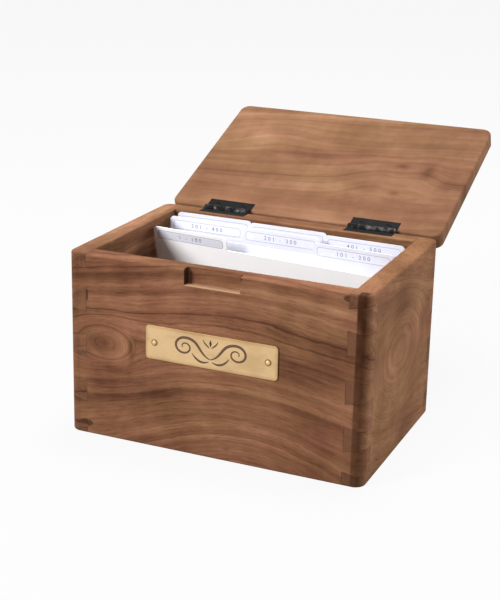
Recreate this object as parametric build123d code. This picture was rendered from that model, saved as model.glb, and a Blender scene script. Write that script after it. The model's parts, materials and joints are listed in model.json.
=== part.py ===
from build123d import *
import math
import os

os.makedirs("parts", exist_ok=True)

# All sizes are in millimetres. The origin is the middle of the box's underside,
# +X to the right, +Y to the back, +Z up. The lid is drawn shut and then swung open.

# Box
box_width = 184.0
box_depth = 126.0
box_height = 111.0
wall = 12.0
corner_radius = 6.5
outer_ease = 1.2  # rounding of the outer edges
rim_ease = 0.8  # rounding of the rim's inner edge

# Through dovetails: the side boards carry the pins
full_pins = 3
pin_height = 14.5  # a full pin at its root, where it is tallest
end_pin_height = 8.2  # the half pins at the top and bottom
pin_slope = 1 / 6

# Floor panel, let into a rabbet round the foot of the boards
floor_thickness = 6.0
floor_rabbet = 5.0
floor_clearance = 0.2

# Finger notch in the front rim
notch_width = 34.0
notch_depth = 5.0
notch_height = 9.5
notch_corner = 1.2

# Lid
lid_thickness = 10.0
lid_side_inset = 1.0
lid_front_inset = 1.5
lid_corner_radius = 6.5
lid_shift = 1.0  # the lid sits this far to the right of the box's middle
lid_gap = 0.3  # between the shut lid and the rim
lid_open_angle = 158.5

# Butt hinges
hinge_width = 31.0
hinge_offset = 49.0  # each hinge's middle, from the box's middle
hinge_overhang = 1.0  # pin axis behind the back board
leaf_thickness = 1.2
leaf_reach = 10.0  # pin axis to the leaf's far edge
leaf_clearance = 0.15
knuckle_count = 5
knuckle_radius = 2.1
knuckle_gap = 0.3
barrel_clearance = 0.4
hinge_pin_radius = 0.9
pin_clearance = 0.05

# Countersunk hinge screws
screw_head_radius = 2.0
screw_shank_radius = 1.0
screw_length = 8.0
screw_spacing = 18.0
screw_slot_width = 0.5
screw_slot_depth = 0.45

# Brass label plate and its two nails
plate_width = 81.4
plate_height = 20.3
plate_thickness = 1.0
plate_corner_radius = 2.2
plate_middle_height = 64.9
nail_spacing = 70.0
nail_head_radius = 1.7
nail_head_height = 0.8
nail_shank_radius = 0.65
nail_length = 9.0

# Card dividers: feet packed against the back board, tops fanned forwards
divider_thickness = 0.6
divider_pitch = 1.3
divider_side_gap = 2.5
divider_top_gap = 1.5  # tab below the rim when the divider stands upright
divider_foot_gap = 0.2
divider_back_gap = 0.4
tab_height = 8.4
tab_corner_radius = 2.6

# From the back board forwards: name, tab place from the left, lean, turn in degrees
dividers = [
    ("divider_1_left_tab", 0, 0.0, 0.0),
    ("divider_2_middle_tab", 1, 0.3, 0.8),
    ("divider_3_right_tab", 2, 1.2, 1.5),
    ("divider_4_left_tab", 0, 3.5, 1.6),
    ("divider_5_middle_tab", 1, 3.9, 2.0),
    ("divider_6_right_tab", 2, 6.4, 3.5),
    ("divider_7_left_tab", 0, 12.4, 5.4),
]

# Worked out from the sizes above
inner_width = box_width - 2 * wall
inner_depth = box_depth - 2 * wall
front_face = -box_depth / 2
back_face = box_depth / 2
axis_y = back_face + hinge_overhang
axis_z = box_height + lid_gap / 2
lid_underside = box_height + lid_gap
lid_width = box_width - 2 * lid_side_inset
lid_depth = box_depth - lid_front_inset
divider_width = inner_width - 2 * divider_side_gap
divider_height = box_height - floor_thickness - divider_top_gap
tab_width = divider_width / 3
hinge_axis = Axis((0, axis_y, axis_z), (1, 0, 0))
grow = 1.0  # how far a cutting tool runs past a face

low = (Align.CENTER, Align.CENTER, Align.MIN)


def save(name, shape):
    export_step(shape, os.path.join("parts", name + ".step"))


def block(x_low, x_high, y_low, y_high, z_low, z_high):
    shape = Box(x_high - x_low, y_high - y_low, z_high - z_low, align=(Align.MIN,) * 3)
    return Pos(x_low, y_low, z_low) * shape


def eased_panel(width, depth, height, radius):
    """A panel standing on z = 0 with rounded corners and softly rounded outer edges."""
    panel = Box(width, depth, height, align=low)
    panel = fillet(panel.edges().filter_by(Axis.Z), radius)
    ends = panel.faces().sort_by(Axis.Z)
    return fillet(ends[0].edges() + ends[-1].edges(), outer_ease)


def box_walls():
    """All four boards as one ring, which every board is then cut from."""
    ring = eased_panel(box_width, box_depth, box_height, corner_radius)
    ring -= Pos(0, 0, -grow) * Box(inner_width, inner_depth, box_height + 2 * grow, align=low)
    rim = ring.faces().sort_by(Axis.Z)[-1]
    ring = fillet(rim.inner_wires()[0].edges(), rim_ease)
    ring -= Pos(0, 0, -grow) * Box(
        inner_width + 2 * floor_rabbet,
        inner_depth + 2 * floor_rabbet,
        floor_thickness + grow,
        align=low,
    )
    return ring


def pin_spans():
    """Bottom and top of each pin at its root, from the floor to the rim."""
    pitch = box_height / (full_pins + 1)
    spans = [(0.0, end_pin_height)]
    for number in range(full_pins):
        middle = pitch * (number + 1)
        spans.append((middle - pin_height / 2, middle + pin_height / 2))
    spans.append((box_height - end_pin_height, box_height))
    return spans


def pins(side, y_low):
    """The pins of one side board through the front or back board; side is -1 or 1."""
    root = side * (box_width / 2 - wall)
    tip = side * box_width / 2
    taper = wall * pin_slope
    shapes = []
    for bottom, top in pin_spans():
        tip_bottom = bottom if bottom == 0 else bottom + taper
        tip_top = top if top == box_height else top - taper
        corners = [(root, bottom), (tip, tip_bottom), (tip, tip_top), (root, top)]
        outline = Polyline([(x, y_low, z) for x, z in corners], close=True)
        shapes.append(extrude(make_face(outline), amount=wall, dir=(0, 1, 0)))
    return shapes


def side_board(side, ring):
    middle = side * (box_width / 2 - wall / 2)
    board = Pos(middle, 0, 0) * Box(wall, inner_depth, box_height, align=low)
    for y_low in (front_face, back_face - wall):
        for pin in pins(side, y_low):
            board += pin
    return board & ring


def end_board(y_low, ring):
    """The front or back board: full width, with sockets for the side boards' pins."""
    board = block(-box_width / 2, box_width / 2, y_low, y_low + wall, 0, box_height)
    for side in (-1, 1):
        for pin in pins(side, y_low):
            board -= pin
    return board & ring


def finger_notch():
    """Cutter for the notch in the outer half of the front rim."""
    tool = block(
        -notch_width / 2,
        notch_width / 2,
        front_face - grow,
        front_face + notch_depth,
        box_height - notch_height,
        box_height + grow,
    )
    inner = tool.edges().filter_by(Axis.Z).group_by(Axis.Y)[-1]
    return fillet(inner, notch_corner)


def leaf_pocket(x, z_low, z_high):
    """Cutter for one leaf's seat, with room for the barrel."""
    half = hinge_width / 2 + leaf_clearance
    seat = block(
        x - half,
        x + half,
        axis_y - leaf_reach - leaf_clearance,
        axis_y + knuckle_radius,
        z_low,
        z_high,
    )
    return seat + barrel(x - half, x + half, knuckle_radius + barrel_clearance)


def barrel(x_low, x_high, radius):
    """A cylinder on the hinge axis."""
    shape = Cylinder(radius, x_high - x_low, align=low)
    return Pos(x_low, axis_y, axis_z) * Rot(0, 90, 0) * shape


def knuckle_spans(x, first):
    """Ends of every second knuckle, starting from number first."""
    pitch = hinge_width / knuckle_count
    spans = []
    for number in range(first, knuckle_count, 2):
        start = x - hinge_width / 2 + number * pitch
        before = 0 if number == 0 else knuckle_gap / 2
        after = 0 if number == knuckle_count - 1 else knuckle_gap / 2
        spans.append((start + before, start + pitch - after))
    return spans


def hinge_leaf(x, first, z_low, screws):
    """A leaf whose plate lies on z_low, with its own knuckles and screw holes."""
    z_high = z_low + leaf_thickness
    near_edge = axis_y - knuckle_radius - knuckle_gap
    half = hinge_width / 2
    leaf = block(x - half, x + half, axis_y - leaf_reach, near_edge, z_low, z_high)
    for start, end in knuckle_spans(x, first):
        leaf += block(start, end, near_edge, axis_y, z_low, z_high)
        leaf += barrel(start, end, knuckle_radius)
    leaf -= barrel(x - half - grow, x + half + grow, hinge_pin_radius + pin_clearance)
    for screw in screws:
        leaf -= screw
    return leaf


def hinge_screw(x, z_face, up):
    """A countersunk screw with its head at z_face; up is 1 when it is driven upwards."""
    height = leaf_thickness
    head = Cone(screw_head_radius, screw_shank_radius, height, align=low)
    shank = Pos(0, 0, height) * Cylinder(screw_shank_radius, screw_length - height, align=low)
    turn = Rot(0, 0, 0) if up > 0 else Rot(180, 0, 0)
    middle_y = axis_y - (knuckle_radius + knuckle_gap + leaf_reach) / 2
    return Pos(x, middle_y, z_face) * turn * (head + shank)


def screw_slot(x, z_face, up):
    middle_y = axis_y - (knuckle_radius + knuckle_gap + leaf_reach) / 2
    length = 2 * screw_head_radius + grow
    slot = Box(length, screw_slot_width, 2 * screw_slot_depth)
    return Pos(x, middle_y, z_face) * Rot(0, 0, 25 * up) * slot


def screw_places(x):
    return [x - screw_spacing / 2, x + screw_spacing / 2]


def label_plate():
    plate = Box(plate_width, plate_thickness, plate_height)
    plate = fillet(plate.edges().filter_by(Axis.Y), plate_corner_radius)
    face = plate.faces().sort_by(Axis.Y)[0]
    plate = chamfer(face.edges(), plate_thickness / 5)
    return Pos(0, front_face - plate_thickness / 2, plate_middle_height) * plate


def plate_nail(x):
    """A round-headed nail driven through the plate; its point is a short cone."""
    dome_radius = (nail_head_radius**2 + nail_head_height**2) / (2 * nail_head_height)
    dome = Pos(0, 0, nail_head_height - dome_radius) * Sphere(dome_radius)
    dome &= Cylinder(nail_head_radius, nail_head_height, align=low)
    point = 2 * nail_shank_radius
    shank = Cylinder(nail_shank_radius, nail_length - point, align=low)
    tip = Pos(0, 0, nail_length - point) * Cone(nail_shank_radius, 0, point, align=low)
    nail = dome + Rot(180, 0, 0) * (shank + tip)
    return Pos(x, front_face - plate_thickness, plate_middle_height) * Rot(90, 0, 0) * nail


def divider(tab_place, lean, turn, number):
    """A card divider standing on its lower front edge, leaning forwards by lean degrees."""
    body_height = divider_height - tab_height
    body = Rectangle(divider_width, body_height, align=(Align.CENTER, Align.MIN))
    tab_middle = (tab_place - 1) * tab_width
    tab = Rectangle(tab_width, divider_height, align=(Align.CENTER, Align.MIN))
    outline = body + Pos(tab_middle, 0) * tab
    top_corners = [v for v in outline.vertices() if v.Y > body_height - grow]
    outer = [v for v in top_corners if is_outer_corner(v, tab_middle, body_height)]
    outline = fillet(outer, tab_corner_radius)
    sheet = extrude(outline, amount=divider_thickness)
    sheet = Rot(90, 0, 0) * sheet
    sheet = Pos(0, divider_thickness, 0) * sheet
    left_foot = back_face - wall - divider_back_gap - divider_thickness - number * divider_pitch
    middle_foot = left_foot - math.tan(math.radians(turn)) * divider_width / 2
    place = Pos(0, middle_foot, floor_thickness + divider_foot_gap)
    return place * Rot(0, 0, -turn) * Rot(lean, 0, 0) * sheet


def is_outer_corner(vertex, tab_middle, body_height):
    """True for a corner that points outwards, so not where the tab meets the body."""
    on_tab_side = abs(abs(vertex.X - tab_middle) - tab_width / 2) < 0.01
    at_body_top = abs(vertex.Y - body_height) < 0.01
    return not (on_tab_side and at_body_top)


def swing_open(shape):
    """Turn a piece of the lid from shut to its open rest position."""
    return shape.rotate(hinge_axis, -lid_open_angle)


ring = box_walls()
hinge_places = {"left": -hinge_offset, "right": hinge_offset}

back_board = end_board(back_face - wall, ring)
lid_middle_y = back_face - lid_depth / 2
lid_panel = eased_panel(lid_width, lid_depth, lid_thickness, lid_corner_radius)
lid_panel = Pos(lid_shift, lid_middle_y, lid_underside) * lid_panel

for name, x in hinge_places.items():
    seat_low = box_height - leaf_thickness
    seat_high = lid_underside + leaf_thickness
    back_board -= leaf_pocket(x, seat_low, box_height + grow)
    lid_panel -= leaf_pocket(x, lid_underside - grow, seat_high)

    box_screws = [hinge_screw(place, box_height, -1) for place in screw_places(x)]
    lid_screws = [hinge_screw(place, lid_underside, 1) for place in screw_places(x)]
    box_leaf = hinge_leaf(x, 0, seat_low, box_screws)
    lid_leaf = hinge_leaf(x, 1, lid_underside, lid_screws)
    for screw in box_screws:
        back_board -= screw
    for screw in lid_screws:
        lid_panel -= screw
    for number, place in enumerate(screw_places(x)):
        box_screws[number] -= screw_slot(place, box_height, -1)
        lid_screws[number] -= screw_slot(place, lid_underside, 1)

    hinge_pin = barrel(x - hinge_width / 2, x + hinge_width / 2, hinge_pin_radius)
    save(name + "_hinge_box_leaf", box_leaf)
    save(name + "_hinge_lid_leaf", swing_open(lid_leaf))
    save(name + "_hinge_pin", hinge_pin)
    save(name + "_hinge_box_screws", Compound(box_screws))
    save(name + "_hinge_lid_screws", Compound([swing_open(screw) for screw in lid_screws]))

nails = [plate_nail(x) for x in (-nail_spacing / 2, nail_spacing / 2)]
front_board = end_board(front_face, ring) - finger_notch()
plate = label_plate()
for nail in nails:
    plate -= nail
    front_board -= nail

floor_panel = Box(
    inner_width + 2 * (floor_rabbet - floor_clearance),
    inner_depth + 2 * (floor_rabbet - floor_clearance),
    floor_thickness,
    align=low,
)

save("front_board", front_board)
save("back_board", back_board)
save("left_board", side_board(-1, ring))
save("right_board", side_board(1, ring))
save("floor_panel", floor_panel)
save("lid_panel", swing_open(lid_panel))
save("label_plate", plate)
save("label_nails", Compound(nails))

for number, (name, tab_place, lean, turn) in enumerate(dividers):
    save(name, divider(tab_place, lean, turn, number))
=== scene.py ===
import json
import math
import bmesh
import bpy
from mathutils import Matrix, Vector


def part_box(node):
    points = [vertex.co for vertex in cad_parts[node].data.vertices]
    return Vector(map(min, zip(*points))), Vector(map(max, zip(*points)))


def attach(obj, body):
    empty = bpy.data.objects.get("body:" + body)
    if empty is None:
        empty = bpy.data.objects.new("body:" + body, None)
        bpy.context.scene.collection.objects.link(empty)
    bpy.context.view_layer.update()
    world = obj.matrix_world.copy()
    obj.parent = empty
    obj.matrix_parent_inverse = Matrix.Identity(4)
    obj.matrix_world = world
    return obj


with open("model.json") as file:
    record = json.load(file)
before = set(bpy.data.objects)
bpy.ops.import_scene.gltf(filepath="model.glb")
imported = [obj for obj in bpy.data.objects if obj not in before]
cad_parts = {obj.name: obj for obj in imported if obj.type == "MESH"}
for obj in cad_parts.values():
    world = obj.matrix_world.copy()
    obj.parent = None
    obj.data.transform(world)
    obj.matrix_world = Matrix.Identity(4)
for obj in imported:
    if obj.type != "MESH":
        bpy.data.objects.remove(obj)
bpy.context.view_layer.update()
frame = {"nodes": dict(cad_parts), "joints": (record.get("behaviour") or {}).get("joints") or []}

nodes = frame["nodes"]
mm = 0.001  # the frame is in metres, most values below are in millimetres
scene = bpy.context.scene
print("frame loaded")

# camera, solved from the straight edges of the box in the photograph
cameraView = {
    "place": (304.68, -717.36, 337.31),
    "yaw": 23.36,  # degrees from +Y towards -X
    "pitch": 17.158,  # degrees below the horizon
    "roll": 1.244,
    "focalPixels": 1378.57,
    "opticalCentre": (249.2, 267.8),
    "imageSize": (500, 600),
    "sensor": 36.0,
}


def makeCamera(values):
    yaw, pitch, roll = (math.radians(values[name]) for name in ("yaw", "pitch", "roll"))
    level = math.cos(pitch)
    ahead = Vector((-math.sin(yaw) * level, math.cos(yaw) * level, -math.sin(pitch)))
    sideways = Vector((math.cos(yaw), math.sin(yaw), 0))
    upright = sideways.cross(ahead)
    right = sideways * math.cos(roll) + upright * math.sin(roll)
    up = upright * math.cos(roll) - sideways * math.sin(roll)
    data = bpy.data.cameras.new("camera")
    camera = bpy.data.objects.new("camera", data)
    scene.collection.objects.link(camera)
    turn = Matrix((right, up, -ahead)).transposed().to_4x4()
    camera.matrix_world = Matrix.Translation(Vector(values["place"]) * mm) @ turn
    width, height = values["imageSize"]
    centreX, centreY = values["opticalCentre"]
    data.sensor_width = values["sensor"]
    data.lens = values["sensor"] * values["focalPixels"] / height
    data.shift_x = (width / 2 - centreX) / height
    data.shift_y = (centreY - height / 2) / height
    data.clip_start, data.clip_end = 0.01, 50
    scene.camera = camera


makeCamera(cameraView)
scene.view_settings.view_transform = "Standard"
print("camera ready")


def shade(red, green, blue):
    # a colour as it looks on screen, 0 to 255, turned into the linear value that shaders use
    parts = []
    for value in (red, green, blue):
        value /= 255
        parts.append(value / 12.92 if value <= 0.04045 else ((value + 0.055) / 1.055) ** 2.4)
    return (*parts, 1.0)


def plug(tree, socket, value):
    if isinstance(value, bpy.types.NodeSocket):
        tree.links.new(value, socket)
    else:
        socket.default_value = value


def addNode(tree, kind, inputs=None, **settings):
    node = tree.nodes.new("ShaderNode" + kind)
    for name, value in settings.items():
        setattr(node, name, value)
    for name, value in (inputs or {}).items():
        plug(tree, node.inputs[name], value)
    return node


def calc(tree, operation, *values, clamp=False):
    node = addNode(tree, "Math", operation=operation, use_clamp=clamp)
    for socket, value in zip(node.inputs, values):
        plug(tree, socket, value)
    return node.outputs[0]


def remap(tree, value, low, high, newLow=0.0, newHigh=1.0, soft=False):
    kind = "SMOOTHSTEP" if soft else "LINEAR"
    limits = {"From Min": low, "From Max": high, "To Min": newLow, "To Max": newHigh}
    node = addNode(tree, "MapRange", {"Value": value, **limits}, interpolation_type=kind)
    return node.outputs["Result"]


def sumOfSquares(tree, first, second):
    return calc(tree, "ADD", calc(tree, "POWER", first, 2.0), calc(tree, "POWER", second, 2.0))


def stretchedNoise(tree, place, stretch, detail=2.0, roughness=0.5, seed=0.0):
    # noise of about 0 to 1, with stretch in cycles per millimetre along the three axes
    scaled = addNode(tree, "VectorMath", operation="MULTIPLY")
    plug(tree, scaled.inputs[0], place)
    scaled.inputs[1].default_value = stretch
    moved = addNode(tree, "VectorMath", operation="ADD")
    tree.links.new(scaled.outputs[0], moved.inputs[0])
    moved.inputs[1].default_value = (seed * 1.7, seed * 2.3, seed * 3.1)
    inputs = {"Vector": moved.outputs[0], "Scale": 1.0, "Detail": detail, "Roughness": roughness}
    return addNode(tree, "TexNoise", inputs, noise_dimensions="3D").outputs["Fac"]


def mixColour(tree, factor, first, second, blend="MIX"):
    node = addNode(tree, "Mix", data_type="RGBA", blend_type=blend)
    sockets = node.inputs[0], node.inputs[6], node.inputs[7]
    for socket, value in zip(sockets, (factor, first, second)):
        plug(tree, socket, value)
    return node.outputs[2]


def ramp(tree, value, stops):
    node = addNode(tree, "ValToRGB", {"Fac": value})
    band = node.color_ramp
    while len(band.elements) < len(stops):
        band.elements.new(0.5)
    for element, (position, colour) in zip(band.elements, stops):
        element.position = position
        element.color = colour
    return node.outputs["Color"]


def newFinish(name):
    finish = bpy.data.materials.new(name)
    finish.use_nodes = True
    tree = finish.node_tree
    return finish, tree, tree.nodes["Principled BSDF"]


def localPlace(tree, origin=(0, 0, 0), turn=(0, 0, 0)):
    # millimetres along a piece's own axes: x along the grain, y through it, z across the face
    spot = addNode(tree, "TexCoord").outputs["Object"]
    inputs = {
        "Vector": spot,
        "Location": [value * mm for value in origin],
        "Rotation": [math.radians(value) for value in turn],
        "Scale": (mm, mm, mm),
    }
    return addNode(tree, "Mapping", inputs, vector_type="TEXTURE").outputs["Vector"]


def bump(tree, height, strength, distance):
    inputs = {"Height": height, "Strength": strength, "Distance": distance * mm}
    return addNode(tree, "Bump", inputs).outputs["Normal"]


# walnut, its heartwood from the darkest shade to the palest first
walnut = {
    "dark": shade(71, 43, 29),
    "brown": shade(99, 66, 46),
    "middle": shade(118, 82, 58),
    "light": shade(138, 100, 74),
    "pale": shade(161, 123, 93),
    "endGrain": shade(97, 65, 48),
    "line": shade(52, 32, 23),  # joints, pores and filler, and the painted shade at the notch's left end
    # painted highlight on the notch's ledge
    "wearAndHighlight": shade(208, 171, 138),
    # the stain on the upright corners, also used for the painted shade at the front right corner
    "corner": shade(58, 31, 14),
    "olive": (0.99, 1.015, 0.94),  # tints that the heartwood drifts between
    "rosy": (1.03, 0.97, 1.0),
    "ringPitch": 9.0,  # mm between the broad growth bands
    "linePitch": 0.36,  # of the dark lines, as a share of ringPitch
    "wave": (0.005, 0.012, 0.014),  # stretches, in cycles per millimetre along, through and across
    "ripple": (0.02, 0.07, 0.07),
    "blotch": (0.012, 0.03, 0.03),
    "figure": (0.055, 0.05, 0.03),
    "fibre": (0.05, 1.9, 1.9),
    "flecks": (0.1, 0.75, 0.75),
    "pores": (0.16, 2.6, 2.6),
    "drift": (0.012, 0.04, 0.04),
    "endDots": (0.2, 1.6, 1.6),
    "bandShare": 0.3,  # how far each pattern moves the tone
    "blotchShare": 0.8,
    "figureShare": 0.45,
    "fibreShare": 0.32,
    "fleckShare": 0.45,
    "streakShare": 0.22,
    "poreShare": 0.5,
    "roughness": 0.74,
    "specular": 0.08,
    "relief": 0.12,  # mm
}


def offset(tree, axes, spot):
    # how far above a spot's middle a point lies, and its squared distance, in the spot's half sizes
    spotX, spotZ, length, height = spot
    sideways = calc(tree, "DIVIDE", calc(tree, "SUBTRACT", axes[0], spotX), length)
    upwards = calc(tree, "DIVIDE", calc(tree, "SUBTRACT", axes[2], spotZ), height)
    return upwards, sumOfSquares(tree, sideways, upwards)


def near(tree, axes, spot):
    # 1 at a spot on the board and 0 away from it
    square = offset(tree, axes, spot)[1]
    return calc(tree, "EXPONENT", calc(tree, "MULTIPLY", square, -1.0))


# how a knot turns the rings round it; a reach of 1 is the edge of the knot
knotShape = {
    "ringSpread": 1.3,  # the rings inside, as a share of the half height
    "ringStart": -8.0,  # mm of the field at the knot's middle, from its height on the board
    "ripple": 1.3,
    "blendFrom": 1.25,  # from this reach inwards to blendTo the field gives way to the rings
    "blendTo": 0.8,
}


def growthField(tree, place, axes, board):
    # a height map over the board whose level lines are the growth rings
    seed = board["seed"]
    field = calc(tree, "MULTIPLY_ADD", axes[1], board["slant"], axes[2])
    field = calc(tree, "MULTIPLY_ADD", axes[0], board.get("tilt", 0.0), field)
    slow = stretchedNoise(tree, place, walnut["wave"], 1.0, 0.5, seed)
    wave = remap(tree, slow, 0.25, 0.75, -board["waves"], board["waves"])
    field = calc(tree, "ADD", field, wave)
    small = stretchedNoise(tree, place, walnut["ripple"], 3.0, 0.6, seed + 5)
    ripple = remap(tree, small, 0.2, 0.8, -2.0, 2.0)
    field = calc(tree, "ADD", field, ripple)
    for *spot, rise in board.get("arches", ()):
        field = calc(tree, "MULTIPLY_ADD", near(tree, axes, spot), -rise, field)
    # lines part round a knot, and inside it they close into rings
    for *spot, push in board.get("knots", ()):
        upwards, square = offset(tree, axes, spot)
        away = calc(tree, "EXPONENT", calc(tree, "MULTIPLY", square, -0.5))
        field = calc(tree, "MULTIPLY_ADD", calc(tree, "MULTIPLY", upwards, away), -push, field)
        reach = calc(tree, "SQRT", square)
        start = spot[1] + knotShape["ringStart"]
        rings = calc(tree, "MULTIPLY_ADD", reach, spot[3] * knotShape["ringSpread"], start)
        rings = calc(tree, "MULTIPLY_ADD", ripple, knotShape["ripple"], rings)
        rings = calc(tree, "ADD", rings, wave)
        inside = remap(tree, reach, knotShape["blendFrom"], knotShape["blendTo"], soft=True)
        mix = addNode(tree, "Mix", {0: inside, 2: field, 3: rings}, data_type="FLOAT")
        field = mix.outputs[0]
    return field


def ringNoise(tree, field, pitch, **settings):
    # noise that changes from ring to ring and stays the same along each of them
    inputs = {"W": calc(tree, "DIVIDE", field, pitch), "Scale": 1.0, **settings}
    return addNode(tree, "TexNoise", inputs, noise_dimensions="1D").outputs["Fac"]


# the dovetails, as they are cut
dovetail = {
    "wall": 12.0,
    "pitch": 27.75,  # between the middles of the pins
    "rootHalf": 7.25,  # half a full pin's height where it is tallest
    "endExtra": 0.95,  # the half pins at top and bottom are this much taller
    "slope": 1 / 6,
    "lineHalf": 0.2,
    "leftStrength": 0.5,  # of the lines at the left, against 1 at the right
    "ends": 60.0,  # how far from the middle they have these strengths
}
# the stain on the rounded upright corners, deepened by painted shade at the front right corner,
# which faces away from the lamps
corners = {
    "radius": 6.5,
    "rise": (84.2, 85.4),  # sideways from the middle of the box, where the stain sets in
    "fall": (88.2, 92.2),  # and where it fades
    "dark": 0.2,
    "height": (10.0, 105.0),
    "frontRightShade": (0.6, 1.05),  # painted shade: in place of dark at the front right, at these two heights
}


def boxHalf(axis):
    # half the box's width or depth, from boards that run its whole length
    low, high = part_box("left_board" if axis == 1 else "front_board")
    return (high - low)[axis] / 2 / mm


def jointLines(tree, spread):
    # 1 along the glue lines of the dovetails, on every face of the box
    sideways = calc(tree, "ABSOLUTE", spread["X"])
    backwards = calc(tree, "ABSOLUTE", spread["Y"])
    upwards = spread["Z"]
    root = boxHalf(0) - dovetail["wall"]
    inner = boxHalf(1) - dovetail["wall"]
    fromPin = calc(tree, "PINGPONG", upwards, dovetail["pitch"] / 2)
    fromMiddle = calc(tree, "ABSOLUTE", calc(tree, "SUBTRACT", upwards, 2 * dovetail["pitch"]))
    atEnd = calc(tree, "GREATER_THAN", fromMiddle, 1.5 * dovetail["pitch"])
    rootHalf = calc(tree, "MULTIPLY_ADD", atEnd, dovetail["endExtra"], dovetail["rootHalf"])
    past = calc(tree, "SUBTRACT", sideways, root)
    half = calc(tree, "MULTIPLY_ADD", past, -dovetail["slope"], rootHalf)
    thin = dovetail["lineHalf"]

    def lineAt(distance, allowed):
        line = remap(tree, calc(tree, "ABSOLUTE", distance), thin, thin * 2, 1.0, 0.0, soft=True)
        return calc(tree, "MULTIPLY", line, allowed)

    pastRoot = calc(tree, "GREATER_THAN", past, -thin)
    pastInner = calc(tree, "GREATER_THAN", backwards, inner - thin)
    inPin = calc(tree, "LESS_THAN", fromPin, half)
    inTail = calc(tree, "GREATER_THAN", fromPin, half)
    pastBoth = calc(tree, "MULTIPLY", pastRoot, pastInner)
    slanted = lineAt(calc(tree, "SUBTRACT", fromPin, half), pastBoth)
    roots = lineAt(past, calc(tree, "MULTIPLY", inPin, pastInner))
    fromInner = calc(tree, "SUBTRACT", backwards, inner)
    tailEnds = lineAt(fromInner, calc(tree, "MULTIPLY", inTail, pastRoot))
    return calc(tree, "MAXIMUM", slanted, calc(tree, "MAXIMUM", roots, tailEnds))


def cornerStainAndShadeMask(tree, spread):
    # 1 where the upright corners are darkest: the stain, and at the front right painted shade as
    #                                          well
    sideways = calc(tree, "ABSOLUTE", spread["X"])
    backwards = calc(tree, "ABSOLUTE", spread["Y"])
    rise = remap(tree, sideways, *corners["rise"], soft=True)
    fall = remap(tree, sideways, *corners["fall"], 1.0, 0.0, soft=True)
    outside = calc(tree, "GREATER_THAN", backwards, boxHalf(1) - corners["radius"])
    band = calc(tree, "MULTIPLY", calc(tree, "MULTIPLY", rise, fall), outside)
    onRight = calc(tree, "GREATER_THAN", spread["X"], 0.0)
    inFront = calc(tree, "LESS_THAN", spread["Y"], 0.0)
    foot, top = (strength - corners["dark"] for strength in corners["frontRightShade"])
    extra = remap(tree, spread["Z"], *corners["height"], foot, top)
    frontRightShade = calc(tree, "MULTIPLY", onRight, inFront)
    strength = calc(tree, "MULTIPLY_ADD", frontRightShade, extra, corners["dark"])
    return calc(tree, "MULTIPLY", band, strength)


def woodTone(tree, place, axes, field, board):
    # 0 for the darkest wood to 1 for the palest, and where the pores are
    seed = board["seed"]
    strong = board.get("bands", 1.0)
    fine = board.get("fine", 1.0)
    bands = ringNoise(tree, field, walnut["ringPitch"], Detail=2.0, Roughness=0.55)
    lines = ringNoise(tree, field, walnut["ringPitch"] * walnut["linePitch"], Detail=1.0)
    blotch = stretchedNoise(tree, place, walnut["blotch"], 3.0, 0.6, seed + 9)
    figure = stretchedNoise(tree, place, walnut["figure"], 3.0, 0.6, seed + 13)
    # fibres, flecks and pores run along the rings
    follow = addNode(tree, "CombineXYZ", {"X": axes[0], "Y": axes[1], "Z": field}).outputs["Vector"]
    fibre = stretchedNoise(tree, follow, walnut["fibre"], 3.0, 0.6, seed + 17)
    flecks = stretchedNoise(tree, follow, walnut["flecks"], 3.0, 0.65, seed + 19)
    pores = stretchedNoise(tree, follow, walnut["pores"], 2.0, 0.5, seed + 23)

    swing = walnut["bandShare"] * strong
    tone = remap(tree, bands, 0.2, 0.8, 0.5 - swing, 0.5 + swing)
    patterns = [
        (blotch, walnut["blotchShare"]),
        (figure, walnut["figureShare"]),
        (fibre, walnut["fibreShare"] * fine),
        (flecks, walnut["fleckShare"] * fine),
    ]
    for pattern, share in patterns:
        tone = calc(tree, "MULTIPLY_ADD", calc(tree, "SUBTRACT", pattern, 0.5), share, tone)
    streak = remap(tree, lines, 0.64, 0.82, 0.0, walnut["streakShare"] * strong, soft=True)
    tone = calc(tree, "SUBTRACT", tone, streak, clamp=True)
    for *spot, depth in board.get("shadows", ()):
        tone = calc(tree, "MULTIPLY_ADD", near(tree, axes, spot), -depth, tone)
    poreMask = remap(tree, pores, 0.6, 0.72, 0.0, walnut["poreShare"] * fine, soft=True)
    return tone, fibre, poreMask


def heartwood(tree, place, tone, board):
    # the tone as a colour, with a tint that drifts over the board
    stops = [(0.0, walnut["dark"]), (0.28, walnut["brown"]), (0.5, walnut["middle"])]
    stops += [(0.74, walnut["light"]), (1.0, walnut["pale"])]
    drift = stretchedNoise(tree, place, walnut["drift"], 2.0, 0.5, board["seed"] + 43)
    own = board.get("tint", (1, 1, 1))
    tints = []
    for side in ("olive", "rosy"):
        tints.append([share * part for share, part in zip(walnut[side], own)] + [1.0])
    tint = mixColour(tree, remap(tree, drift, 0.38, 0.62), *tints)
    return mixColour(tree, 1.0, ramp(tree, tone, stops), tint, "MULTIPLY")


def addEndGrain(tree, colour, place, axes, tone, board):
    # shows where the board's own ends come out at the faces of the box
    distance = calc(tree, "ABSOLUTE", axes[0])
    ends = remap(tree, distance, board["endsAt"] - 2.6, board["endsAt"] - 0.4, soft=True)
    dots = stretchedNoise(tree, place, walnut["endDots"], 2.0, 0.6, board["seed"] + 31)
    endTone = calc(tree, "MULTIPLY_ADD", calc(tree, "SUBTRACT", dots, 0.5), 0.9, tone)
    stops = [(0.1, walnut["line"]), (0.5, walnut["endGrain"]), (0.95, walnut["brown"])]
    ends = calc(tree, "MULTIPLY", ends, board["endShare"])
    return mixColour(tree, ends, colour, ramp(tree, endTone, stops))


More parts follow.
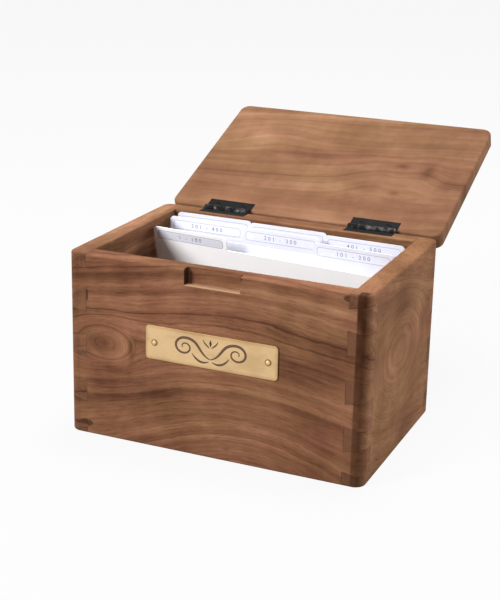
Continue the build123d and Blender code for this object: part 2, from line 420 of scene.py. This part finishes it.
def addJoints(tree, colour, worldPlace, spread, board):
    # stained corners, with painted shade at the front right, and broken glue lines
    broken = stretchedNoise(tree, worldPlace, (0.12, 0.12, 0.12), 3.0, 0.6, board["seed"] + 37)
    patchy = remap(tree, broken, 0.3, 0.65, 0.68, 1.12)
    stainAndShade = calc(tree, "MINIMUM", calc(tree, "MULTIPLY", cornerStainAndShadeMask(tree, spread), patchy), 1.0)
    colour = mixColour(tree, stainAndShade, colour, walnut["corner"])
    ends = dovetail["ends"]
    plain = remap(tree, spread["X"], -ends, ends, dovetail["leftStrength"], 1.0)
    shown = calc(tree, "MULTIPLY", remap(tree, broken, 0.38, 0.62, 0.1, 0.65), plain)
    joint = calc(tree, "MULTIPLY", jointLines(tree, spread), shown)
    return mixColour(tree, joint, colour, walnut["line"])


# the notch in the front rim, with a painted highlight on its ledge and painted shade on its left
# end
notch = {
    "width": 34.0,
    "ledge": 101.5,  # its height
    "depth": 5.0,
    # how strongly the ledge gets its painted highlight and the left end its painted shade
    "ledgeHighlight": 0.4,
    "leftEndShade": 0.9,
    "side": 0.2,  # how far past the notch's faces the marks may reach
    "rise": 0.22,
    "inwards": 0.1,
    "end": 0.3,
}


def addNotchHighlightAndShade(tree, colour, spread):
    # a painted highlight along the ledge and painted shade on the left end
    half = notch["width"] / 2
    inside = calc(tree, "LESS_THAN", calc(tree, "ABSOLUTE", spread["X"]), half + notch["side"])
    fromLedge = calc(tree, "ABSOLUTE", calc(tree, "SUBTRACT", spread["Z"], notch["ledge"]))
    low = calc(tree, "LESS_THAN", fromLedge, notch["rise"])
    outer = calc(tree, "LESS_THAN", spread["Y"], notch["depth"] - boxHalf(1) + notch["inwards"])
    wearAndHighlight = calc(tree, "MULTIPLY", calc(tree, "MULTIPLY", inside, outer), low)
    wearAndHighlight = calc(tree, "MULTIPLY", wearAndHighlight, notch["ledgeHighlight"])
    colour = mixColour(tree, wearAndHighlight, colour, walnut["wearAndHighlight"])
    fromEnd = calc(tree, "ABSOLUTE", calc(tree, "ADD", spread["X"], half))
    leftEnd = calc(tree, "LESS_THAN", fromEnd, notch["end"])
    above = calc(tree, "GREATER_THAN", spread["Z"], notch["ledge"] + notch["end"])
    paintedShade = calc(tree, "MULTIPLY", calc(tree, "MULTIPLY", leftEnd, outer), above)
    paintedShade = calc(tree, "MULTIPLY", paintedShade, notch["leftEndShade"])
    return mixColour(tree, paintedShade, colour, walnut["line"])


def addFiller(tree, colour, place, axes, board):
    # dark filler and torn grain
    for spot in board.get("filler", ()):
        ragged = stretchedNoise(tree, place, (0.5, 0.5, 0.9), 2.0, 0.5, board["seed"] + 41)
        mask = calc(tree, "MULTIPLY", near(tree, axes, spot), remap(tree, ragged, 0.2, 0.42))
        cover = remap(tree, mask, 0.25, 0.6, 0.0, 0.8, soft=True)
        colour = mixColour(tree, cover, colour, walnut["line"])
    return colour


def walnutFinish(name, board):
    finish, tree, shader = newFinish(name)
    place = localPlace(tree, board.get("origin", (0, 0, 0)), board.get("turn", (0, 0, 0)))
    parts = addNode(tree, "SeparateXYZ", {"Vector": place}).outputs
    axes = [parts[axis] for axis in "XYZ"]
    field = growthField(tree, place, axes, board)
    tone, fibre, poreMask = woodTone(tree, place, axes, field, board)
    colour = heartwood(tree, place, tone, board)
    colour = mixColour(tree, poreMask, colour, walnut["line"])
    worldPlace = localPlace(tree)
    spread = addNode(tree, "SeparateXYZ", {"Vector": worldPlace}).outputs
    if "endsAt" in board:
        colour = addEndGrain(tree, colour, place, axes, tone, board)
        colour = addJoints(tree, colour, worldPlace, spread, board)
    if board.get("notched"):
        colour = addNotchHighlightAndShade(tree, colour, spread)
    colour = addFiller(tree, colour, place, axes, board)

    rough = remap(tree, tone, 0.0, 1.0, walnut["roughness"] + 0.08, walnut["roughness"] - 0.06)
    relief = calc(tree, "MULTIPLY_ADD", poreMask, -1.2, fibre)
    plug(tree, shader.inputs["Base Color"], colour)
    plug(tree, shader.inputs["Roughness"], rough)
    plug(tree, shader.inputs["Normal"], bump(tree, relief, 0.35, walnut["relief"]))
    shader.inputs["Specular IOR Level"].default_value = walnut["specular"]
    return finish


openAngle = -158.5  # degrees that the lid stands open from shut
hingeLine = (0, 64, 111.15)  # a point on the lid's axis
boards = {
    # places and half sizes are in millimetres along and across the board: a knot has its place,
    # half length, half height and push, an arch the same and its rise, a shadow the same and its
    # depth of tone, which is below 0 for a light patch, and filler has no last number.
    # slant and tilt turn the rings through and along the board, waves bends them, bands and fine
    # scale the broad and the fine patterns, and endShare is how strongly the end grain shows.
    "front_board": {
        "seed": 1.0,
        "slant": 0.35,
        "waves": 2.5,
        "tint": (1.02, 0.97, 1.0),
        "endsAt": 92.0,
        "endShare": 0.05,
        "notched": True,
        "knots": [(-68, 59, 17, 10, 14)],
        "arches": [(20, -8, 70, 60, 42), (14, 100, 75, 34, 11)],
        "shadows": [
            (-58, 37, 26, 9, 0.2), (-58, 99, 42, 12, 0.24), (64, 67, 18, 15, 0.24),
            # (2, 106, 15, 5, -0.1) is painted light on the notch's back wall, which lies in shade
            (10, 49, 50, 4, 0.04), (2, 106, 15, 5, -0.1), (66, 22, 26, 26, 0.14),
            (-72, 59, 12, 7, 0.32), (-90, 80, 14, 40, 0.1), (-50.5, 58, 1.8, 8, 0.3),
            (-86, 22, 9, 3, 0.16), (-74, 33, 9, 3, 0.18), (-62, 44, 9, 3, 0.18),
            (-22, 33, 20, 6, 0.12),
        ],
        "filler": [
            (79.5, 108.3, 3.0, 1.9), (-81.0, 6.8, 5.0, 2.4), (16.5, 109.7, 1.6, 1.2),
            (-79.4, 87.0, 0.9, 4.5), (-88.0, 61.0, 1.8, 0.9),
        ],
    },
    "back_board": {
        "seed": 2.0,
        "slant": -0.3,
        "waves": 4.0,
        "endsAt": 92.0,
        "endShare": 0.4,
        "knots": [(34, 66, 14, 9, 12)],
        "arches": [(-40, 0, 60, 36, 24)],
    },
    "left_board": {
        "seed": 3.0,
        "slant": 0.3,
        "waves": 4.0,
        "turn": (0, 0, 90),
        "endsAt": 63.0,
        "endShare": 0.55,
        "bands": 0.9,
        "arches": [(12, 6, 44, 40, 26)],
        "filler": [(-64, 7.0, 2.5, 1.8)],
    },
    "right_board": {
        "seed": 4.0,
        "slant": -0.3,
        "tilt": 0.22,
        "waves": 3.5,
        "turn": (0, 0, 90),
        "tint": (1.02, 1.0, 0.92),
        "endsAt": 63.0,
        "endShare": 0.85,
        "bands": 0.42,
        "fine": 1.05,
        "knots": [(-6, 62, 50, 34, 12)],
        "shadows": [
            (-2, 86, 12, 4, 0.12), (28, 72, 6, 14, -0.2), (-54, 22, 7, 16, -0.16),
            (0, 22, 34, 3, 0.14), (14, 6, 18, 6, 0.1), (-6, 92, 14, 8, 0.1),
        ],
    },
    "lid_panel": {
        "seed": 6.0,
        "slant": 0.4,
        "tilt": -0.12,
        "waves": 6.0,
        "origin": hingeLine,
        "turn": (openAngle + 90, 0, 0),
        "tint": (0.99, 1.04, 1.07),
        "bands": 0.44,
        "fine": 0.4,
        "arches": [(-52, 96, 36, 20, 14), (34, 50, 20, 26, 13), (62, 60, 14, 22, 9)],
        "shadows": [
            (-46, 60, 24, 7, 0.12), (-14, 72, 24, 7, 0.18), (14, 84, 16, 9, 0.12),
            (-68, 84, 22, 14, -0.12), (46, 71, 5, 2.5, 0.3), (65, 69, 4, 8, 0.22),
            (50, 40, 3, 1.6, 0.22), (22, 60, 12, 3, 0.12), (0, 22, 90, 9, 0.12),
            (-56, 74, 34, 26, -0.08), (-20, 36, 50, 6, -0.08), (20, 100, 60, 10, 0.04),
        ],
    },
    "floor_panel": {
        "seed": 8.0,
        "slant": 0.3,
        "waves": 5.0,
        "turn": (-90, 0, 0),
        "arches": [(0, 20, 50, 22, 20)],
    },
}


def dress(node, finish):
    data = nodes[node].data
    data.materials.clear()
    data.materials.append(finish)


for boardName, values in boards.items():
    dress(boardName, walnutFinish(boardName + "_walnut", values))
print("boards ready")

# black iron hinges
iron = {
    "colour": shade(16, 16, 16),
    "wearAndHighlight": shade(60, 58, 56),
    "barrel": shade(120, 117, 113),
    "roughness": 0.56,
    "specular": 0.06,
    "relief": 0.08,  # mm
    "barrelRadius": 2.1,
    "cloud": (0.25, 0.25, 0.25),  # stretches
    "specks": (1.6, 1.6, 1.6),
    "wearShare": 0.55,
    "rubbedShare": 0.5,
}


def ironFinish(name, seed):
    finish, tree, shader = newFinish(name)
    place = localPlace(tree)
    cloud = stretchedNoise(tree, place, iron["cloud"], 3.0, 0.6, seed)
    specks = stretchedNoise(tree, place, iron["specks"], 3.0, 0.65, seed + 3)
    both = calc(tree, "MULTIPLY", cloud, specks)
    wear = remap(tree, both, 0.3, 0.46, 0.0, iron["wearShare"], soft=True)
    colour = mixColour(tree, wear, iron["colour"], iron["wearAndHighlight"])
    # the paint is rubbed off round the barrel
    fromHinge = addNode(tree, "SeparateXYZ", {"Vector": localPlace(tree, hingeLine)}).outputs
    reach = calc(tree, "SQRT", sumOfSquares(tree, fromHinge["Y"], fromHinge["Z"]))
    radius = iron["barrelRadius"]
    barrel = remap(tree, reach, radius + 0.25, radius - 0.1, 0.0, 1.0, soft=True)
    patches = remap(tree, cloud, 0.44, 0.68, 0.0, iron["rubbedShare"], soft=True)
    rubbed = calc(tree, "MULTIPLY", barrel, patches)
    plug(tree, shader.inputs["Base Color"], mixColour(tree, rubbed, colour, iron["barrel"]))
    plug(tree, shader.inputs["Metallic"], rubbed)
    rough = remap(tree, specks, 0.3, 0.7, iron["roughness"] - 0.08, iron["roughness"] + 0.12)
    plug(tree, shader.inputs["Roughness"], calc(tree, "MULTIPLY_ADD", rubbed, -0.24, rough))
    plug(tree, shader.inputs["Normal"], bump(tree, specks, 0.25, iron["relief"]))
    shader.inputs["Specular IOR Level"].default_value = iron["specular"]
    return finish


hingeFinish = ironFinish("hinge_iron", 1.0)
pinFinish = ironFinish("pin_iron", 4.0)
screwFinish = ironFinish("screw_iron", 7.0)
for side in ("left", "right"):
    dress(side + "_hinge_box_leaf", hingeFinish)
    dress(side + "_hinge_lid_leaf", hingeFinish)
    dress(side + "_hinge_pin", pinFinish)
    dress(side + "_hinge_box_screws", screwFinish)
    dress(side + "_hinge_lid_screws", screwFinish)

# brushed brass
brass = {
    "colour": shade(214, 182, 137),
    "dull": shade(170, 136, 92),
    "roughness": 0.36,
    "relief": 0.04,  # mm
    "brushing": (0.035, 3.0, 3.0),  # stretches
    "cloud": (0.05, 0.08, 0.08),
    "cloudShare": 0.45,  # how far each pattern dulls the colour
    "brushShare": 0.9,
    "rimShare": 0.5,
    "rimWidth": 2.4,  # mm
    "nailRoughness": 0.68,
    "nailAged": 0.15,
    "nailSpacing": 70.0,
    "nailRadius": 1.7,
    # painted shade round the nail heads
    "nailShade": shade(92, 66, 36),
    "nailShadeShare": 0.75,
    "nailShadeReach": (0.1, 0.6),  # mm from the edge of a nail head
}


def brassFinish(name, seed, roughness, aged=0.0, halfSize=None):
    finish, tree, shader = newFinish(name)
    low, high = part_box("label_plate")
    middle = [value / mm for value in (low + high) / 2]
    place = localPlace(tree, middle)
    strokes = stretchedNoise(tree, place, brass["brushing"], 3.0, 0.65, seed)
    cloud = stretchedNoise(tree, place, brass["cloud"], 3.0, 0.6, seed + 3)
    dulling = remap(tree, cloud, 0.35, 0.75, 0.0, brass["cloudShare"], soft=True)
    brushed = calc(tree, "SUBTRACT", strokes, 0.5)
    dulling = calc(tree, "MULTIPLY_ADD", brushed, brass["brushShare"], dulling)
    dulling = calc(tree, "ADD", dulling, aged)
    spots = addNode(tree, "SeparateXYZ", {"Vector": place}).outputs
    fromMiddle = calc(tree, "ABSOLUTE", spots["X"])
    # darker towards the plate's edges
    if halfSize:
        edgeX = calc(tree, "SUBTRACT", halfSize[0], fromMiddle)
        edgeZ = calc(tree, "SUBTRACT", halfSize[1], calc(tree, "ABSOLUTE", spots["Z"]))
        edge = calc(tree, "MINIMUM", edgeX, edgeZ)
        rim = remap(tree, edge, brass["rimWidth"], 0.0, 0.0, brass["rimShare"], soft=True)
        dulling = calc(tree, "ADD", dulling, rim)
    dulling = calc(tree, "MINIMUM", calc(tree, "MAXIMUM", dulling, 0.0), 1.0)
    colour = mixColour(tree, dulling, brass["colour"], brass["dull"])
    # painted shade: a dark ring where each nail head meets the plate
    fromNail = calc(tree, "SUBTRACT", fromMiddle, brass["nailSpacing"] / 2)
    distance = calc(tree, "SQRT", sumOfSquares(tree, fromNail, spots["Z"]))
    reach = calc(tree, "SUBTRACT", distance, brass["nailRadius"])
    fromHead = calc(tree, "ABSOLUTE", reach)
    nailShade = remap(tree, fromHead, *brass["nailShadeReach"], brass["nailShadeShare"], 0.0, soft=True)
    plug(tree, shader.inputs["Base Color"], mixColour(tree, nailShade, colour, brass["nailShade"]))
    rough = remap(tree, strokes, 0.3, 0.7, roughness - 0.05, roughness + 0.12)
    plug(tree, shader.inputs["Roughness"], calc(tree, "MULTIPLY_ADD", nailShade, 0.3, rough))
    plug(tree, shader.inputs["Normal"], bump(tree, strokes, 0.2, brass["relief"]))
    shader.inputs["Metallic"].default_value = 1.0
    return finish


plateLow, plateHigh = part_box("label_plate")
plateHalf = [value / mm / 2 for value in plateHigh - plateLow]
plateFinish = brassFinish("plate_brass", 2.0, brass["roughness"], halfSize=plateHalf[::2])
dress("label_plate", plateFinish)
dress("label_nails", brassFinish("nail_brass", 5.0, brass["nailRoughness"], brass["nailAged"]))
print("metal ready")

# white card
card = {
    # painted light: the cards behind the front one are toned down, since they stand in more light
    "colour": shade(223, 223, 233),
    "shade": shade(216, 217, 228),
    "frontColour": shade(253, 254, 255),  # painted light: whiter than the rest, to make up for the light it misses as it leans out of the light
    "frontShade": shade(249, 250, 253),
    "ink": shade(168, 170, 185),
    "letterInk": shade(128, 130, 147),
    "field": shade(214, 215, 227),
    "cloud": (0.05, 0.05, 0.05),  # stretches
    "fibres": (1.4, 1.4, 2.2),
    "inkGrain": (2.5, 2.5, 2.5),
    "relief": 0.05,  # mm
    "inkRoughness": 0.75,
    "inkFading": 1.25,
}


def cardFinish(name, seed, colour, shaded):
    finish, tree, shader = newFinish(name)
    place = localPlace(tree)
    cloud = stretchedNoise(tree, place, card["cloud"], 2.0, 0.5, seed)
    fibres = stretchedNoise(tree, place, card["fibres"], 4.0, 0.7, seed + 3)
    mix = remap(tree, cloud, 0.35, 0.75, 0.0, 0.7)
    mix = calc(tree, "MULTIPLY_ADD", calc(tree, "SUBTRACT", fibres, 0.5), 0.5, mix, clamp=True)
    plug(tree, shader.inputs["Base Color"], mixColour(tree, mix, colour, shaded))
    plug(tree, shader.inputs["Roughness"], remap(tree, fibres, 0.3, 0.7, 0.68, 0.8))
    plug(tree, shader.inputs["Normal"], bump(tree, fibres, 0.12, card["relief"]))
    return finish


def inkFinish(name, colour, seed):
    finish, tree, shader = newFinish(name)
    place = localPlace(tree)
    grain = stretchedNoise(tree, place, card["inkGrain"], 3.0, 0.7, seed)
    faded = [min(1.0, value * card["inkFading"]) for value in colour[:3]] + [1.0]
    mottled = mixColour(tree, remap(tree, grain, 0.4, 0.7), colour, faded)
    plug(tree, shader.inputs["Base Color"], mottled)
    shader.inputs["Roughness"].default_value = card["inkRoughness"]
    return finish


# printing on the tabs: a border with rounded corners, its tinted inside and plain numbers
tabPrint = {
    "tabHeight": 8.4,
    "sideInset": 2.3,
    "topInset": 2.1,
    "footRise": 0.5,
    "corner": 1.9,
    "cornerSteps": 5,
    "lineWidth": 0.38,
    "numberHeight": 2.6,
    "capitalShare": 0.72,  # a capital's height as a share of the letter size
    "boldness": 0.035,
    "spacing": 1.55,
    "lift": 0.03,  # above the card, so that it shows
    "numbers": [  # back to front
        "601 - 700",
        "501 - 600",
        "401 - 500",
        "301 - 400",
        "201 - 300",
        "101 - 200",
        "1 - 100",
    ],
}
tabPlaces = {"left": 0, "middle": 1, "right": 2}


def cardFrame(node, joint):
    # the card's lower left front corner, and its directions across, up and out of the front face
    up = Vector(joint["axis"]).normalized()
    across = Vector((-up.y, up.x, 0))
    across = across.normalized() if across.length > 1e-6 else Vector((1, 0, 0))
    out = across.cross(up)
    points = [vertex.co for vertex in nodes[node].data.vertices]
    left = min(point.dot(across) for point in points)
    width = max(point.dot(across) for point in points) - left
    foot = min(point.dot(up) for point in points)
    height = max(point.dot(up) for point in points) - foot
    front = max(point.dot(out) for point in points)
    corner = across * left + up * foot + out * front
    return Matrix((across, -out, up)).transposed(), corner, width / mm, height / mm


def flatText(words):
    data = bpy.data.curves.new("words", "FONT")
    data.body = words
    data.size = tabPrint["numberHeight"] / tabPrint["capitalShare"]
    data.space_character = tabPrint["spacing"]
    data.align_x, data.align_y = "CENTER", "CENTER"
    data.resolution_u = 3
    data.offset = tabPrint["boldness"]
    thing = bpy.data.objects.new("words", data)
    mesh = bpy.data.meshes.new_from_object(thing)
    bpy.data.objects.remove(thing)
    bpy.data.curves.remove(data)
    return mesh


def printTab(node, joint, number, words, finishes):
    turn, corner, width, height = cardFrame(node, joint)
    tabWidth = width / 3
    tabMiddle = tabWidth * (tabPlaces[node.split("_")[2]] + 0.5)
    low = height - tabPrint["tabHeight"] + tabPrint["footRise"]
    high = height - tabPrint["topInset"]
    lift = tabPrint["lift"]
    shape = bmesh.new()
    bmesh.ops.create_grid(shape, x_segments=1, y_segments=1, size=0.5)
    size = Matrix.Diagonal((tabWidth - 2 * tabPrint["sideInset"], high - low, 1, 1))
    onTab = Matrix.Translation((tabMiddle, (low + high) / 2, 0)) @ size
    bmesh.ops.transform(shape, matrix=onTab, verts=shape.verts)
    bmesh.ops.bevel(shape, geom=shape.verts[:], offset=tabPrint["corner"], affect="VERTICES",
                    segments=tabPrint["cornerSteps"], profile=0.5, material=-1)
    field = shape.faces[:]
    line = tabPrint["lineWidth"]
    border = bmesh.ops.inset_region(shape, faces=field, thickness=line, use_boundary=True)["faces"]
    for face in field:
        face.material_index = 1
    for face in border:
        face.material_index = 0
    letters = flatText(words)
    letters.transform(Matrix.Translation((tabMiddle, (low + high) / 2, lift / 2)))
    before = len(shape.faces)
    shape.from_mesh(letters)
    shape.faces.ensure_lookup_table()
    for face in shape.faces[before:]:
        face.material_index = 2
    bpy.data.meshes.remove(letters)
    # flat drawing, x across and y up, onto the card's front face
    stand = turn.to_4x4() @ Matrix.Rotation(math.radians(90), 4, "X")
    onCard = Matrix.Translation(corner) @ stand @ Matrix.Scale(mm, 4)
    raised = onCard @ Matrix.Translation((0, 0, lift))
    bmesh.ops.transform(shape, matrix=raised, verts=shape.verts)
    mesh = bpy.data.meshes.new(f"divider_{number}_print")
    shape.to_mesh(mesh)
    shape.free()
    for finish in finishes:
        mesh.materials.append(finish)
    piece = bpy.data.objects.new(f"divider_{number}_print", mesh)
    scene.collection.objects.link(piece)
    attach(piece, f"divider_{number}")


inks = [
    inkFinish("border_ink", card["ink"], 1.0),
    inkFinish("tab_tint", card["field"], 2.0),
    inkFinish("number_ink", card["letterInk"], 3.0),
]
lifts = {joint["child"]: joint for joint in frame["joints"]}
for node in sorted(name for name in nodes if name.startswith("divider_")):
    number = int(node.split("_")[1])
    if number == len(tabPrint["numbers"]):  # the front one, whiter as painted light
        colours = card["frontColour"], card["frontShade"]
    else:
        colours = card["colour"], card["shade"]
    dress(node, cardFinish(node + "_card", number * 3.0, *colours))
    printTab(node, lifts[f"divider_{number}"], number, tabPrint["numbers"][number - 1], inks)
print("dividers ready")

# the flourish engraved on the plate, its points in shares of its half width and half height
flourish = {
    "halfWidth": 23.0,
    "halfHeight": 7.2,
    "stroke": 0.5,  # half the width of an ordinary stroke
    "depth": 0.03,
    "colour": shade(78, 54, 36),
    "scroll": [(0.0, -0.62), (0.12, -0.5), (0.26, -0.05), (0.4, 0.7)],  # out from under the middle
    "scrollWidths": [0.5, 0.9, 1.5, 1.7],
    "curlMiddle": (0.7, 0.12),
    "curlReach": (0.3, 0.82),
    "curlStart": 100,  # degrees
    "curlTurns": 1.35,
    "curlShrink": 0.82,  # how much of its reach the curl loses by its end
    "curlWidths": (1.6, 0.6),
    "curlSteps": 14,
    "leaf": [(0.04, -0.8), (0.16, -1.0), (0.34, -0.92), (0.46, -0.5), (0.5, -0.3)],
    "leafWidths": [0.4, 1.3, 1.6, 0.9, 0.3],
    "bud": [(0.03, 0.32), (0.08, 0.5), (0.17, 0.62), (0.2, 0.95)],
    "budWidths": [0.4, 1.2, 1.0, 0.3],
    "lozenge": [(0.0, 0.98), (0.0, 0.86), (0.0, 0.7), (0.0, 0.56), (0.0, 0.44)],
    "lozengeWidths": [0.2, 1.0, 2.0, 1.0, 0.2],
}


def addStroke(data, points, widths):
    # one stroke and its mirror image; points are in millimetres from the plate's middle
    for flip in (1, -1):
        line = data.splines.new("NURBS")
        line.points.add(len(points) - 1)
        for point, (x, z), width in zip(line.points, points, widths):
            point.co = (flip * x, z, 0, 1)
            point.radius = width
        line.use_endpoint_u = True
        line.order_u = 4


def curlPoints(values):
    # the scroll's end, which curls inwards and gets thinner
    points, widths = [], []
    middleX, middleZ = values["curlMiddle"]
    reachX, reachZ = values["curlReach"]
    first, last = values["curlWidths"]
    for step in range(values["curlSteps"]):
        share = step / (values["curlSteps"] - 1)
        turn = math.radians(values["curlStart"] - 360 * values["curlTurns"] * share)
        shrink = 1 - values["curlShrink"] * share
        x = middleX + reachX * shrink * math.cos(turn)
        z = middleZ + reachZ * shrink * math.sin(turn)
        points.append((x, z))
        widths.append(first - (first - last) * share)
    return points, widths


def engraveFlourish(values, finish):
    data = bpy.data.curves.new("stroke", "CURVE")
    data.dimensions = "3D"
    data.bevel_depth = values["stroke"]
    data.bevel_resolution = 2
    data.resolution_u = 8
    wide, tall = values["halfWidth"], values["halfHeight"]

    curl, curlWidths = curlPoints(values)
    strokes = [(values["scroll"] + curl, values["scrollWidths"] + curlWidths)]
    strokes += [(values[name], values[name + "Widths"]) for name in ("leaf", "bud", "lozenge")]
    for points, widths in strokes:
        addStroke(data, [(x * wide, z * tall) for x, z in points], widths)

    thing = bpy.data.objects.new("stroke", data)
    mesh = bpy.data.meshes.new_from_object(thing)
    bpy.data.objects.remove(thing)
    low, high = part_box("label_plate")
    middle = (low + high) / 2
    flatten = Matrix.Diagonal((1, 1, values["depth"] / values["stroke"], 1))
    stand = Matrix.Rotation(math.radians(90), 4, "X")
    onPlate = Matrix.Translation((middle.x, low.y, middle.z)) @ stand
    mesh.transform(onPlate @ Matrix.Scale(mm, 4) @ flatten)
    mesh.name = "label_flourish"
    mesh.materials.clear()
    mesh.materials.append(finish)
    piece = bpy.data.objects.new("label_flourish", mesh)
    scene.collection.objects.link(piece)
    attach(piece, "box")


engraveFlourish(flourish, inkFinish("engraving_fill", flourish["colour"], 9.0))
print("plate engraved")

# studio, with its places and sizes in metres
studio = {
    "floor": shade(172, 172, 172),
    "floorWhite": 0.92,  # how far the floor goes to plain white for the camera
    "ambient": 0.3,
    "key": {"place": (-0.7, -1.1, 0.76), "size": 0.55, "power": 24.6},
    "fill": {"place": (1.25, 0.6, 0.28), "size": 0.4, "power": 12.3},
    "top": {"place": (0.0, 0.3, 1.4), "size": 0.7, "power": 21.2},
    "target": (0, 0, 0.08),
}


def seenPlainly(tree):
    # 1 for what is seen straight, in a reflection or through glass, and 0 for light that bounces
    path = addNode(tree, "LightPath").outputs
    seen = calc(tree, "MAXIMUM", path["Is Camera Ray"], path["Is Glossy Ray"])
    return calc(tree, "MAXIMUM", seen, path["Is Transmission Ray"])


def makeFloor():
    shape = bmesh.new()
    bmesh.ops.create_grid(shape, x_segments=8, y_segments=8, size=4)
    mesh = bpy.data.meshes.new("studio_floor")
    shape.to_mesh(mesh)
    shape.free()
    floor = bpy.data.objects.new("studio_floor", mesh)
    scene.collection.objects.link(floor)
    finish = bpy.data.materials.new("studio_floor")
    finish.use_nodes = True
    tree = finish.node_tree
    tree.nodes.clear()
    matt = addNode(tree, "BsdfDiffuse", {"Color": studio["floor"]})
    white = addNode(tree, "Emission", {"Color": (1, 1, 1, 1), "Strength": 1.0})
    share = calc(tree, "MULTIPLY", seenPlainly(tree), studio["floorWhite"])
    blend = addNode(tree, "MixShader", {"Fac": share})
    tree.links.new(matt.outputs[0], blend.inputs[1])
    tree.links.new(white.outputs[0], blend.inputs[2])
    tree.links.new(blend.outputs[0], addNode(tree, "OutputMaterial").inputs["Surface"])
    mesh.materials.append(finish)


def makeWorld():
    world = bpy.data.worlds.new("studio")
    world.use_nodes = True
    scene.world = world
    tree = world.node_tree
    strength = calc(tree, "MAXIMUM", seenPlainly(tree), studio["ambient"])
    plug(tree, tree.nodes["Background"].inputs["Strength"], strength)
    tree.nodes["Background"].inputs["Color"].default_value = (1, 1, 1, 1)


def makeLamp(name, values):
    data = bpy.data.lights.new(name, "AREA")
    data.shape = "DISK"
    data.size = values["size"]
    data.energy = values["power"]
    lamp = bpy.data.objects.new(name, data)
    scene.collection.objects.link(lamp)
    lamp.location = values["place"]
    aim = Vector(studio["target"]) - Vector(values["place"])
    lamp.rotation_euler = aim.to_track_quat("-Z", "Y").to_euler()


makeFloor()
makeWorld()
for name in ("key", "fill", "top"):
    makeLamp(name + "_lamp", studio[name])
print("studio ready")
